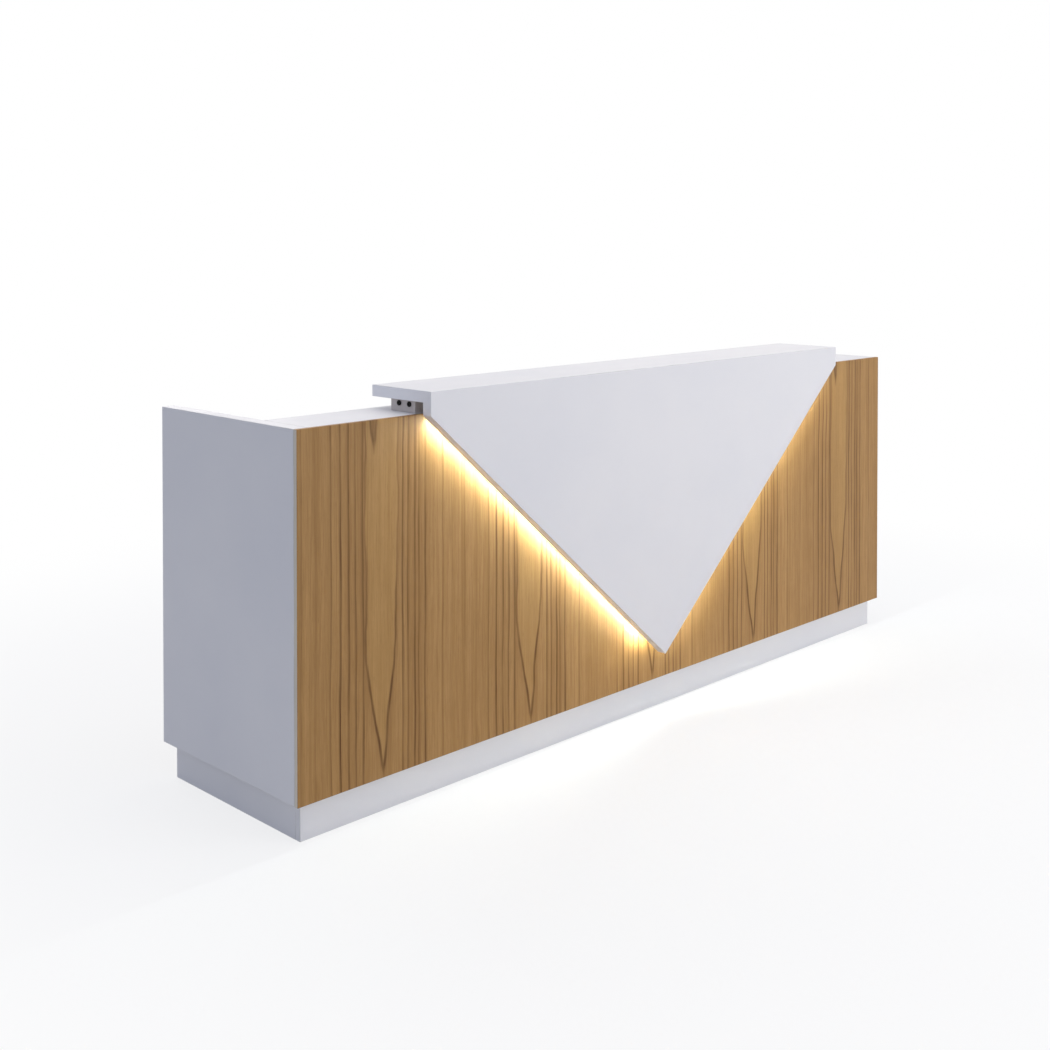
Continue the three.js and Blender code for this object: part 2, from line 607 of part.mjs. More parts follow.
function addCupboard() {
  const hingeSideGap = 2;
  const doorX = [PEDESTAL_INNER + FRONT_INNER_REVEAL, INNER_HALF - hingeSideGap];
  board('cupboard_door', TEAK_VENEER, doorX, [FRONTS_BACK, FRONTS_FACE], [FRONTS_BOTTOM, FRONTS_TOP]);

  const handleFromEdge = 45;
  const handleFromTop = 150;
  const handle = addMesh('cupboard_handle', handleGeometry().rotateY(Math.PI / 2), ALUMINIUM);
  handle.position.set(doorX[0] + handleFromEdge, FRONTS_FACE, FRONTS_TOP - handleFromTop);

  addHinge('upper', FRONTS_TOP - HINGE_FROM_EDGE);
  addHinge('lower', FRONTS_BOTTOM + HINGE_FROM_EDGE);

  const shelfHeight = 420;
  const shelfPlay = 0.5;
  const shelfSetback = 50;
  const shelfX = [PEDESTAL_INNER + BOARD + shelfPlay, INNER_HALF - shelfPlay];
  const shelfRear = CARCASS_REAR - shelfSetback;
  board('cupboard_shelf', WHITE_LAMINATE, shelfX,
    [FRAME_BACK, shelfRear], [shelfHeight - BOARD, shelfHeight]);
}

addFront();
addPlinth();
addCounterAndVee();
addRiser();
addLightStrips();
addDriver();
addSwitch();
addWorktop();
addGrommets();
addPedestals();
addDrawers();
addCupboard();

export default desk;
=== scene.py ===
# %% [markdown]
# # A reception desk with a lit V panel
# The solids of the desk come from a CAD model. This lesson dresses them: every board gets soft edges and
# a finish, the small fittings get their rounded forms, and lamps and a camera make the picture.

# %% Load the solids
import json
import math

import bmesh
import bpy
from mathutils import Matrix, Vector


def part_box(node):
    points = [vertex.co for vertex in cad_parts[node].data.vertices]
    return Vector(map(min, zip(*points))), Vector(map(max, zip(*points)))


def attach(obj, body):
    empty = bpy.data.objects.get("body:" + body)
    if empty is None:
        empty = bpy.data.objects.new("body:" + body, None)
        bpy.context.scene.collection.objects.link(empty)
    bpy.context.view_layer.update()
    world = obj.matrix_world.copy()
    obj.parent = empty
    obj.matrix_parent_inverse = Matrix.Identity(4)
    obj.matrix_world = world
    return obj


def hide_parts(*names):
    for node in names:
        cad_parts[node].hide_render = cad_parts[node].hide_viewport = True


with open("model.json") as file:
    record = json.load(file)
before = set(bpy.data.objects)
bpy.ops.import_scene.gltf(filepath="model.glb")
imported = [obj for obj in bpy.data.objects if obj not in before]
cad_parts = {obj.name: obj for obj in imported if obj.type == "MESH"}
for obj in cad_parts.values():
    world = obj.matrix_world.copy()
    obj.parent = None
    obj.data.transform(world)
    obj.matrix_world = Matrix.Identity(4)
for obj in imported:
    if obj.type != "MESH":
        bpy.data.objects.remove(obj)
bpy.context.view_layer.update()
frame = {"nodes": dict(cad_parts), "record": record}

record = frame["record"]
BODY_OF = {node: body for body, nodes in record["behaviour"]["bodies"].items() for node in nodes}
SLOT_OF = {row["node"]: row["material_slot"] for row in record["subparts"]}

# %% [markdown]
# ## Camera
# The photo looks along the desk's corner from a little above the counter. Its upright edges are almost
# parallel, so the camera is nearly level and the lens is shifted down instead of tilted.

# %% Camera
camera_data = bpy.data.cameras.new("camera")
camera = bpy.data.objects.new("camera", camera_data)
bpy.context.collection.objects.link(camera)
bpy.context.scene.camera = camera
YAW = math.radians(45.19)
PITCH = math.radians(-1.0)
FOCAL_IN_FRAMES = 1365.5 / 1050
look = Vector((math.sin(YAW) * math.cos(PITCH), math.cos(YAW) * math.cos(PITCH), math.sin(PITCH)))
camera.location = (-3.1765, -2.8889, 1.4468)
camera.rotation_euler = look.to_track_quat("-Z", "Y").to_euler()
camera_data.sensor_width = 36
camera_data.lens = camera_data.sensor_width * FOCAL_IN_FRAMES
camera_data.shift_y = -0.2568
camera_data.clip_end = 100
print("lens:", round(camera_data.lens, 1), "mm")

# %% [markdown]
# ## Building finishes
# A finish is a network of nodes. A small helper class keeps the network code short: it adds a node, sets
# its options, and either links a socket or sets its value. Effects that several finishes share are node
# groups.


# %% Helper for node networks
class Network:
    """A node tree with short ways to add nodes and to join them."""

    def __init__(self, tree):
        self.tree = tree

    def feed(self, socket, value):
        if isinstance(value, bpy.types.NodeSocket):
            self.tree.links.new(value, socket)
        else:
            socket.default_value = value

    def add(self, kind, inputs=None, **options):
        made = self.tree.nodes.new("ShaderNode" + kind)
        for name, value in options.items():
            setattr(made, name, value)
        for name, value in (inputs or {}).items():
            self.feed(made.inputs[name], value)
        return made

    def math(self, operation, *values):
        made = self.tree.nodes.new("ShaderNodeMath")
        made.operation = operation
        for socket, value in zip(made.inputs, values):
            self.feed(socket, value)
        return made.outputs[0]

    def spread(self, value, low, high, to_low=0.0, to_high=1.0, kind="LINEAR"):
        made = self.add("MapRange", interpolation_type=kind)
        for socket, number in zip(made.inputs, (value, low, high, to_low, to_high)):
            self.feed(socket, number)
        return made.outputs[0]

    def mix(self, factor, first, second, blend="MIX"):
        made = self.add("Mix", data_type="RGBA", blend_type=blend)
        factor_socket, first_socket, second_socket = made.inputs[0], made.inputs[6], made.inputs[7]
        self.feed(factor_socket, factor)
        self.feed(first_socket, first)
        self.feed(second_socket, second)
        return made.outputs[2]

    def stretch(self, vector, scale):
        return self.add("VectorMath", {0: vector, 1: scale}, operation="MULTIPLY").outputs[0]

    def noise(self, vector, scale, detail=2.0, roughness=0.5):
        inputs = {"Vector": vector, "Scale": scale, "Detail": detail, "Roughness": roughness}
        return self.add("TexNoise", inputs).outputs["Fac"]

    def separate(self, vector):
        return self.add("SeparateXYZ", {0: vector}).outputs

    def combine(self, *values):
        made = self.add("CombineXYZ")
        for socket, value in zip(made.inputs, values):
            self.feed(socket, value)
        return made.outputs[0]


def new_group(name, inputs, outputs):
    """An empty shader group with named sockets, and the network and nodes to fill it with."""
    tree = bpy.data.node_groups.new(name, "ShaderNodeTree")
    for direction, sockets in (("INPUT", inputs), ("OUTPUT", outputs)):
        for socket_name, kind in sockets.items():
            tree.interface.new_socket(name=socket_name, in_out=direction, socket_type="NodeSocket" + kind)
    network = Network(tree)
    return network, tree.nodes.new("NodeGroupInput").outputs, tree.nodes.new("NodeGroupOutput").inputs


def use_group(network, name, inputs):
    made = network.tree.nodes.new("ShaderNodeGroup")
    made.node_tree = bpy.data.node_groups[name]
    for socket_name, value in inputs.items():
        network.feed(made.inputs[socket_name], value)
    return made.outputs


def new_finish(name, **constants):
    """A material with a Principled shader: its network, its shader's inputs and its Object coordinates."""
    material = bpy.data.materials.new(name)
    material.use_nodes = True
    network = Network(material.node_tree)
    shader = material.node_tree.nodes["Principled BSDF"]
    for socket_name, value in constants.items():
        shader.inputs[socket_name.replace("_", " ")].default_value = value
    position = network.add("TexCoord").outputs["Object"]
    return material, network, shader.inputs, position


def srgb(red, green, blue):
    """A colour read off a screen, 0 to 255, as the linear colour that a shader takes."""
    def linear(value):
        value /= 255
        return value / 12.92 if value <= 0.04045 else ((value + 0.055) / 1.055) ** 2.4
    return (linear(red), linear(green), linear(blue), 1.0)


def add_bump(network, shader, height, strength, distance):
    bump = network.add("Bump", {"Height": height, "Strength": strength, "Distance": distance})
    network.feed(shader["Normal"], bump.outputs["Normal"])


print("helpers ready")

# %% [markdown]
# ## Shared effects
# Laminate, plastic and lacquer all have a skin that is not quite even: broad clouds in the colour, a fine
# orange-peel in the surface and smudges in the gloss. One group makes these, and each finish sets its
# scale. A second group makes brushed metal by stretching a noise along one direction, and a third wears
# soft edges.

# %% Shared effects as node groups
network, given, result = new_group(
    "uneven skin",
    {"Position": "Vector", "Colour": "Color", "Shade Colour": "Color", "Cloud Scale": "Float",
     "Peel Scale": "Float", "Low Roughness": "Float", "High Roughness": "Float"},
    {"Colour": "Color", "Roughness": "Float", "Height": "Float"})
clouds = network.noise(given["Position"], given["Cloud Scale"], 4, 0.6)
smudges = network.noise(given["Position"], network.math("MULTIPLY", given["Cloud Scale"], 3.7), 5, 0.65)
peel = network.noise(given["Position"], given["Peel Scale"], 2, 0.4)
shade = network.spread(clouds, 0.35, 0.7)
network.feed(result["Colour"], network.mix(shade, given["Colour"], given["Shade Colour"]))
roughness = network.spread(smudges, 0.3, 0.7)
span = network.math("SUBTRACT", given["High Roughness"], given["Low Roughness"])
network.feed(result["Roughness"], network.math("MULTIPLY_ADD", roughness, span, given["Low Roughness"]))
network.feed(result["Height"], peel)

network, given, result = new_group(
    "brushed lines", {"Position": "Vector", "Stretch": "Vector"}, {"Tone": "Float", "Height": "Float"})
along = network.stretch(given["Position"], given["Stretch"])
network.feed(result["Tone"], network.noise(along, 1.0, 4, 0.7))
network.feed(result["Height"], network.noise(along, 2.3, 3, 0.6))

network, given, result = new_group(
    "worn edge", {"Position": "Vector", "Patch Scale": "Float"}, {"Mask": "Float"})
edge = network.add("Attribute", attribute_name="soft_edge").outputs["Fac"]
patches = network.spread(network.noise(given["Position"], given["Patch Scale"], 4, 0.6), 0.42, 0.62)
network.feed(result["Mask"], network.math("MULTIPLY", edge, patches))
print("groups:", [group.name for group in bpy.data.node_groups])

# %% [markdown]
# ## White laminate
# The white boards are satin laminate. In the photo they look almost even, a little cool in the shade. The
# finish keeps that: very faint clouds, a fine peel, gloss that varies with handling, and slightly greyed
# edges.

# %% White laminate
WHITE = srgb(232, 231, 233)
WHITE_SHADE = srgb(226, 226, 230)
EDGE_GREY = srgb(206, 205, 204)


def laminate(name, colour, shade, low_roughness, high_roughness):
    material, network, shader, position = new_finish(name, IOR=1.47)
    skin = use_group(network, "uneven skin", {
        "Position": position, "Colour": colour, "Shade Colour": shade, "Cloud Scale": 1.6,
        "Peel Scale": 420.0, "Low Roughness": low_roughness, "High Roughness": high_roughness})
    wear = use_group(network, "worn edge", {"Position": position, "Patch Scale": 9.0})["Mask"]
    network.feed(shader["Base Color"], network.mix(wear, skin["Colour"], EDGE_GREY))
    network.feed(shader["Roughness"], skin["Roughness"])
    add_bump(network, shader, skin["Height"], 0.12, 0.0003)
    return material


white_laminate = laminate("white laminate", WHITE, WHITE_SHADE, 0.46, 0.58)
carcass_white = laminate("carcass white", srgb(226, 226, 226), srgb(219, 219, 221), 0.52, 0.64)
# The riser's greyer laminate is partly painted shade from the overhanging counter
grey_laminate_and_painted_shade = laminate("grey laminate and painted shade", srgb(204, 196, 191), srgb(195, 187, 183), 0.46, 0.58)
print("laminates:", white_laminate.name, carcass_white.name, grey_laminate_and_painted_shade.name)

# %% [markdown]
# ## Teak veneer
# The front is five equal leaves of veneer, cut one after the other from the same log, so each shows
# almost the same figure. Growth rings cut almost flat make a tall V: two dark arms that rise from a point
# near the foot of the leaf and then run upright. Beside it the rings are cut steeply and stand as
# straight lines, some much darker than the others. A second point hangs in from the top edge. The group
# below draws these parts one by one in the leaf's own coordinates: across (from the leaf's middle) and
# height (from its foot), in metres.

# %% Teak grain as a node group
LEAF_WIDTH = 0.52
LEAF_HALF = LEAF_WIDTH / 2
# How far the noises of the grain move on from one leaf to the next
LEAF_STEP = 0.2
# Dark ring lines: distance from the leaf's middle in metres, and darkness
RING_LINES = [(-0.247, 0.3), (-0.205, 0.2), (-0.160, 0.6), (-0.132, 1.0), (-0.107, 0.9), (-0.086, 0.7),
              (-0.063, 0.85), (0.061, 0.85), (0.078, 0.7), (0.100, 0.9), (0.113, 0.65), (0.134, 0.9),
              (0.194, 0.45), (0.226, 0.15)]
# The two V figures of a leaf: their axis, their tip's height, and each arm's slope and final reach
TALL_POINT = {"axis": 0.0, "tip": 0.012, "left": (0.20, 0.056), "right": (0.11, 0.046)}
HANGING_POINT = {"axis": -0.030, "tip": 0.822, "left": (0.13, 0.05), "right": (0.13, 0.05)}
# Sizes of the lines and of what lies beside them, in metres
LINE_SHARP_EDGE = 0.0024
LINE_SOFT_EDGE = 0.0080
ARM_BEND = 0.02
ARM_CORE = 0.0008
ARM_EDGE_AT_TIP = 0.0068
ARM_EDGE_ABOVE = 0.0042
ARM_THINS_OVER = 0.6
TIP_FADE = 0.02
INSIDE_FADE = 0.006
SHADE_WIDTH = 0.022
TEAK_LIGHT = srgb(195, 153, 97)
TEAK_GOLD = srgb(197, 161, 92)
TEAK_DEEP = srgb(155, 114, 63)
TEAK_FIBRE = srgb(120, 83, 42)
TEAK_LINE = srgb(89, 53, 15)
TEAK_WORN = srgb(124, 87, 48)


def draw_point(network, across, height, axis, tip, left, right):
    """Two arms that rise from a tip: masks of their lines, of the space between and of a shade outside."""
    offset = network.math("SUBTRACT", across, axis)
    rise = network.math("MAXIMUM", network.math("SUBTRACT", height, tip), 0.0)
    reach = [network.math("SMOOTH_MIN", network.math("MULTIPLY", rise, slope), final_reach, ARM_BEND)
             for slope, final_reach in (left, right)]
    on_right = network.math("GREATER_THAN", offset, 0.0)
    arm = network.add("Mix", data_type="FLOAT", inputs={0: on_right, 2: reach[0], 3: reach[1]}).outputs[0]
    outside = network.math("SUBTRACT", network.math("ABSOLUTE", offset), arm)
    above = network.spread(network.math("SUBTRACT", height, tip), -TIP_FADE, TIP_FADE)
    edge = network.spread(rise, 0.0, ARM_THINS_OVER, ARM_EDGE_AT_TIP, ARM_EDGE_ABOVE)
    from_arm = network.math("ABSOLUTE", outside)
    line = network.spread(from_arm, ARM_CORE, edge, 1.0, 0.0, kind="SMOOTHSTEP")
    inside = network.math("MULTIPLY", network.spread(outside, -INSIDE_FADE, 0.0, 1.0, 0.0), above)
    shade = network.math("MULTIPLY", network.spread(outside, 0.0, SHADE_WIDTH, 1.0, 0.0),
                         network.math("GREATER_THAN", outside, 0.0))
    return network.math("MULTIPLY", line, above), inside, network.math("MULTIPLY", shade, above)


network, given, result = new_group(
    "teak leaf", {"Position": "Vector", "Middle": "Float", "Foot": "Float", "Seed": "Float"},
    {"Colour": "Color", "Roughness": "Float", "Height": "Float"})
x, y, z = network.separate(given["Position"])
height = network.math("SUBTRACT", z, given["Foot"])
from_middle = network.math("SUBTRACT", x, given["Middle"])
across = network.math("WRAP", from_middle, LEAF_HALF, -LEAF_HALF)

# Each leaf lies a little deeper in the log than the one before, so its figure has changed a little
leaf_number = network.math("ROUND", network.math("DIVIDE", from_middle, LEAF_WIDTH))
depth = network.math("MULTIPLY_ADD", leaf_number, LEAF_STEP, given["Seed"])

# The grain wavers slowly along its length, and a little more finely from line to line
slow_place = network.stretch(network.combine(across, depth, height), (5.0, 1.0, 2.6))
waver = network.spread(network.noise(slow_place, 1.0, 2, 0.5), 0.0, 1.0, -0.007, 0.007)
fine_place = network.stretch(network.combine(across, depth, height), (45.0, 1.0, 4.0))
quiver = network.spread(network.noise(fine_place, 1.0, 2, 0.5), 0.0, 1.0, -0.0013, 0.0013)
grain = network.math("ADD", network.math("ADD", across, waver), quiver)

# Fibres run along the grain, and make the edges of the ring lines ragged
fibre_place = network.stretch(network.combine(grain, y, height), (700.0, 1.0, 9.0))
fibres = network.noise(fibre_place, 1.0, 3, 0.65)
ragged = network.math("ADD", grain, network.spread(fibres, 0.25, 0.75, -0.0016, 0.0016))

# The tall V, whose arms fade as they rise, and the short one that hangs in from the top; both bend more
kink_place = network.stretch(network.combine(across, depth, height), (10.0, 1.0, 9.0))
kink = network.spread(network.noise(kink_place, 1.0, 1, 0.5), 0.2, 0.8, -0.0045, 0.0045)
bent = network.math("ADD", ragged, kink)
arms, plain, arm_shade = draw_point(network, bent, height, **TALL_POINT)
arms = network.math("MULTIPLY", arms, network.spread(height, 0.15, 0.6, 1.0, 0.4))
wedge, wedge_inside, wedge_shade = draw_point(network, bent, height, **HANGING_POINT)

# The straight ring lines: sharp towards the leaf's middle, soft outwards, and fading along the leaf
lines = network.math("MAXIMUM", arms, wedge)
for place, darkness in RING_LINES:
    outwards = math.copysign(1.0, place)
    away = network.math("MULTIPLY", network.math("SUBTRACT", ragged, place), outwards)
    soft = network.spread(away, 0.0, LINE_SOFT_EDGE, darkness, 0.0, kind="SMOOTHSTEP")
    sharp = network.spread(away, -LINE_SHARP_EDGE, 0.0, kind="SMOOTHSTEP")
    lines = network.math("MAXIMUM", lines, network.math("MULTIPLY", soft, sharp))
fade_place = network.stretch(network.combine(grain, depth, height), (60.0, 1.0, 3.0))
fade = network.spread(network.noise(fade_place, 1.0, 3, 0.6), 0.32, 0.64, 0.36, 1.0)
lines = network.math("MULTIPLY", lines, fade)

# Fainter stripes and pores run along the grain too; broad bands vary the tone across it
stripe_place = network.stretch(network.combine(grain, depth, height), (75.0, 1.0, 0.9))
stripes = network.spread(network.noise(stripe_place, 1.0, 5, 0.75), 0.42, 0.70)
pore_place = network.stretch(network.combine(grain, y, height), (1500.0, 1.0, 45.0))
pores = network.spread(network.noise(pore_place, 1.0, 1, 0.5), 0.6, 0.75)
band_place = network.stretch(network.combine(grain, depth, height), (14.0, 1.0, 0.5))
bands = network.spread(network.noise(band_place, 1.0, 2, 0.5), 0.35, 0.65)

plain_share = network.spread(plain, 0.0, 1.0, 1.0, 0.75)
mottle_place = network.stretch(network.combine(grain, depth, height), (22.0, 1.0, 11.0))
mottle = network.spread(network.noise(mottle_place, 1.0, 3, 0.6), 0.3, 0.7, 0.0, 0.22)
base_tone = network.math("MULTIPLY_ADD", bands, 0.45, mottle)
colour = network.mix(base_tone, TEAK_LIGHT, TEAK_DEEP)
colour = network.mix(network.math("MULTIPLY", plain, 0.15), colour, TEAK_GOLD)
stripe_tone = network.math("MULTIPLY", network.math("MULTIPLY", stripes, plain_share), 0.65)
colour = network.mix(stripe_tone, colour, TEAK_DEEP)
fibre_tone = network.math("MULTIPLY", network.spread(fibres, 0.25, 0.75, 0.56, 0.0), plain_share)
colour = network.mix(fibre_tone, colour, TEAK_FIBRE)
shade = network.math("MAXIMUM", arm_shade, wedge_shade)
colour = network.mix(network.math("MULTIPLY", shade, 0.24), colour, TEAK_FIBRE)
colour = network.mix(network.math("MULTIPLY", pores, 0.25), colour, TEAK_LINE)
colour = network.mix(network.math("MULTIPLY", wedge_inside, 0.8), colour, TEAK_FIBRE)
colour = network.mix(lines, colour, TEAK_LINE)
network.feed(result["Colour"], colour)
network.feed(result["Roughness"], network.spread(fibres, 0.2, 0.8, 0.54, 0.42))
relief = network.math("SUBTRACT", fibres, network.math("MULTIPLY", pores, 0.6))
network.feed(result["Height"], network.math("SUBTRACT", relief, network.math("MULTIPLY", lines, 0.5)))
print("teak leaf nodes:", len(network.tree.nodes))

# %% [markdown]
# The same group gives three finishes. The front has its leaves in step with the panel's length. The
# drawer fronts and the cupboard door are cut from other leaves, so their seeds differ, and their grain
# runs on from one drawer to the next.


# %% Teak finishes
def teak(name, middle, foot, seed):
    material, network, shader, position = new_finish(name, IOR=1.5, Specular_IOR_Level=0.25)
    grain = use_group(network, "teak leaf", {
        "Position": position, "Middle": middle, "Foot": foot, "Seed": seed})
    wear = use_group(network, "worn edge", {"Position": position, "Patch Scale": 14.0})["Mask"]
    network.feed(shader["Base Color"], network.mix(wear, grain["Colour"], TEAK_WORN))
    network.feed(shader["Roughness"], grain["Roughness"])
    add_bump(network, shader, grain["Height"], 0.25, 0.0004)
    return material


panel_low, panel_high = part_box("front_panel")
teak_front = teak("teak front", 0.0, panel_low.z, 3.4)
drawer_low, drawer_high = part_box("drawer_front_bottom")
drawer_middle = (drawer_low.x + drawer_high.x) / 2
teak_drawers = teak("teak drawers", drawer_middle + 0.03, drawer_low.z + 0.09, 11.0)
door_low, door_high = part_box("cupboard_door")
door_middle = (door_low.x + door_high.x) / 2
teak_door = teak("teak door", door_middle - 0.02, door_low.z + 0.04, 23.0)
print("teak finishes:", teak_front.name, teak_drawers.name, teak_door.name)

# %% [markdown]
# ## Metals and plastics
# Handles and light channels are anodised aluminium, brushed along their length. Runners and hinges are
# zinc-plated steel. Plastics have a fine moulded texture. The light strips are opal plastic that glows,
# brighter over each diode. The diodes sit close to the back of the V, whose edge hides them, and their
# light spreads over the veneer. They shine more strongly towards the ends of a strip, and a little more
# in the right strip.


# %% Metals
def brushed_metal(name, colour, dark, stretch, low_roughness, high_roughness):
    material, network, shader, position = new_finish(name, Metallic=1.0)
    lines = use_group(network, "brushed lines", {"Position": position, "Stretch": stretch})
    network.feed(shader["Base Color"], network.mix(lines["Tone"], dark, colour))
    roughness = network.spread(lines["Tone"], 0.25, 0.75, high_roughness, low_roughness)
    network.feed(shader["Roughness"], roughness)
    add_bump(network, shader, lines["Height"], 0.15, 0.0002)
    return material


ALUMINIUM_LIGHT = srgb(214, 215, 217)
ALUMINIUM_DARK = srgb(186, 188, 191)
aluminium_along = brushed_metal(
    "aluminium along", ALUMINIUM_LIGHT, ALUMINIUM_DARK, (18, 900, 900), 0.24, 0.38)
aluminium_upright = brushed_metal(
    "aluminium upright", ALUMINIUM_LIGHT, ALUMINIUM_DARK, (900, 900, 18), 0.24, 0.38)
zinc_steel = brushed_metal(
    "zinc steel", srgb(196, 199, 202), srgb(158, 162, 166), (140, 14, 140), 0.3, 0.48)
black_steel = brushed_metal(
    "black steel", srgb(44, 43, 43), srgb(22, 21, 21), (300, 300, 300), 0.35, 0.5)
print("metals:", aluminium_along.name, aluminium_upright.name, zinc_steel.name, black_steel.name)


# %% Plastics and the glowing strips
def moulded_plastic(name, colour, shade, peel_scale, low_roughness, high_roughness, bump):
    material, network, shader, position = new_finish(name, IOR=1.49)
    skin = use_group(network, "uneven skin", {
        "Position": position, "Colour": colour, "Shade Colour": shade, "Cloud Scale": 6.0,
        "Peel Scale": peel_scale, "Low Roughness": low_roughness, "High Roughness": high_roughness})
    network.feed(shader["Base Color"], skin["Colour"])
    network.feed(shader["Roughness"], skin["Roughness"])
    add_bump(network, shader, skin["Height"], bump, 0.0004)
    return material


grey_plastic = moulded_plastic(
    "grey plastic", srgb(172, 174, 177), srgb(162, 164, 168), 900.0, 0.42, 0.55, 0.3)
white_plastic = moulded_plastic(
    "white plastic", srgb(236, 235, 231), srgb(229, 228, 224), 300.0, 0.2, 0.3, 0.05)
cream_band = moulded_plastic(
    "cream edge band", srgb(214, 206, 192), srgb(204, 196, 182), 260.0, 0.38, 0.5, 0.15)
# Bright white band for thin edges: partly a real edge band, partly painted light on shaded edge faces
white_band_and_painted_light = moulded_plastic(
    "white edge band and painted light", srgb(247, 247, 249), srgb(242, 242, 245), 260.0, 0.38, 0.5, 0.12)

DIODE_PITCH = 0.0125
DIODE_ROW = 0.004
DIODE_ROW_EDGE = 0.002
# How much a strip is dimmed along its run, and where that changes: metres from the desk's middle
RUN_DIMMING = 0.6
TOP_DIMMING = 0.35
TOP_END = (0.80, 0.89)
POINT_END = (0.05, 0.12)
RIGHT_DIMMING = 0.8
STRIP_STRENGTH = 430.0
LIT_COLOUR = (0.88, 1.0, 0.93, 1.0)
LIT_BETWEEN = (0.70, 0.77, 0.68, 1.0)
UNLIT = (0.02, 0.018, 0.014, 1.0)
opal_lit, network, shader, position = new_finish(
    "opal lit", Roughness=0.5, Emission_Strength=STRIP_STRENGTH)
x, y, z = network.separate(position)
strip_low, strip_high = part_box("led_diffuser_left")
slope = math.atan2(strip_high.z - strip_low.z, strip_high.x - strip_low.x)
run = network.math("DIVIDE", x, math.cos(slope) * DIODE_PITCH)
beside_diode = network.spread(network.math("PINGPONG", run, 0.5), 0.0, 0.5, kind="SMOOTHSTEP")
row_end = strip_low.y + DIODE_ROW
beyond_row = network.spread(y, row_end, row_end + DIODE_ROW_EDGE)
network.feed(shader["Base Color"], network.mix(beside_diode, srgb(252, 244, 224), srgb(244, 232, 204)))
lit = network.mix(beside_diode, LIT_COLOUR, LIT_BETWEEN)
from_middle = network.math("ABSOLUTE", x)
dimmed = network.math("MINIMUM", network.spread(from_middle, *TOP_END, RUN_DIMMING, TOP_DIMMING),
                      network.spread(from_middle, *POINT_END, 0.0, RUN_DIMMING))
dimmed = network.math("MULTIPLY", dimmed, network.spread(x, -0.02, 0.02, 1.0, RIGHT_DIMMING))
lit = network.mix(dimmed, lit, UNLIT)
network.feed(shader["Emission Color"], network.mix(beyond_row, lit, UNLIT))
plastics = (grey_plastic, white_plastic, cream_band, white_band_and_painted_light, opal_lit)
print("plastics:", [material.name for material in plastics])

# %% [markdown]
# ## From a mesh to a piece of the desk
# A piece is finished in the same few steps each time: make the mesh an object, give it its finishes, let
# it ride on its body, and say which solid it stands for. Soft edges are marked in a face attribute while
# they are bevelled, so that the finishes can wear them.


# %% Helpers for pieces
SHARP_ANGLE = math.radians(50)


def soften(bm, edges, radius, segments=3):
    """Rounds edges, and marks the new faces in the attribute soft_edge."""
    layer = bm.faces.layers.float.get("soft_edge") or bm.faces.layers.float.new("soft_edge")
    made = bmesh.ops.bevel(bm, geom=edges, offset=radius, offset_type="OFFSET", segments=segments,
                           profile=0.5, affect="EDGES", material=-1, clamp_overlap=True)
    for face in made["faces"]:
        face[layer] = 1.0


def finish_piece(name, bm, materials, body, stands_for=()):
    """Turns a bmesh into an object of the desk."""
    bmesh.ops.recalc_face_normals(bm, faces=bm.faces)
    mesh = bpy.data.meshes.new(name)
    bm.to_mesh(mesh)
    bm.free()
    for material in materials:
        mesh.materials.append(material)
    mesh.shade_smooth()
    mesh.set_sharp_from_angle(angle=SHARP_ANGLE)
    piece = bpy.data.objects.new(name, mesh)
    bpy.context.collection.objects.link(piece)
    piece.modifiers.new("flat faces stay flat", "WEIGHTED_NORMAL").keep_sharp = True
    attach(piece, body)
    if stands_for:
        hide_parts(*stands_for)
    return piece


def stand_in(node, bm, *materials, name=None):
    """A piece that takes the place of one solid, on its body."""
    return finish_piece(name or node + "_form", bm, materials, BODY_OF[node], [node])


def add_block(bm, low, high):
    """A block between two corners; returns its vertices."""
    low, high = Vector(low), Vector(high)
    verts = bmesh.ops.create_cube(bm, size=1)["verts"]
    bmesh.ops.scale(bm, vec=high - low, verts=verts)
    bmesh.ops.translate(bm, vec=(low + high) / 2, verts=verts)
    return verts


def new_verts(made):
    """The vertices among what an operator made."""
    return [item for item in made["geom"] if isinstance(item, bmesh.types.BMVert)]


def edges_of(verts):
    return list({edge for vert in verts for edge in vert.link_edges})


def soft_block(low, high, radius, segments=3):
    bm = bmesh.new()
    soften(bm, edges_of(add_block(bm, low, high)), radius, segments)
    return bm


def add_prism(bm, points, pull):
    """A face through the points, pulled to a solid; returns its vertices."""
    face = bm.faces.new([bm.verts.new(point) for point in points])
    far = new_verts(bmesh.ops.extrude_face_region(bm, geom=[face]))
    bmesh.ops.translate(bm, vec=pull, verts=far)
    return list(face.verts) + far


print("piece helpers ready")

# %% [markdown]
# ## Boards
# Most of the desk is flat board. A board's form is a block with a radius of about a millimetre on its
# edges, which is what catches the light. The thick side panels get a slightly larger radius, and the
# riser is grey: partly its own greyer laminate, partly painted shade from the counter that overhangs it.

# %% White boards
SHOW_BOARDS = ["top_ledge", "side_panel_left", "side_panel_right", "plinth_front", "plinth_left",
               "plinth_right", "plinth_rear_left", "plinth_rear_right", "riser", "ledge_divider_left",
               "ledge_divider_right"]
HIDDEN_BOARDS = ["front_board", "vee_batten_upper", "vee_batten_lower", "worktop_cleat",
                 "pedestal_base_left", "pedestal_base_right", "cupboard_shelf"]
BOARD_RADIUS = 0.0010
SIDE_RADIUS = 0.0016
for node in SHOW_BOARDS + HIDDEN_BOARDS:
    radius = SIDE_RADIUS if node.startswith("side_panel") else BOARD_RADIUS
    material = carcass_white if node in HIDDEN_BOARDS else white_laminate
    # Grey on the riser: partly its own tone, partly painted shade under the counter
    if node == "riser":
        material = grey_laminate_and_painted_shade
    stand_in(node, soft_block(*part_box(node), radius), material)
print("white boards:", len(SHOW_BOARDS) + len(HIDDEN_BOARDS))

# %% [markdown]
# The pedestal sides are notched over the front plinth, so their form is an outline pulled to the board's
# thickness, then softened in the same way.

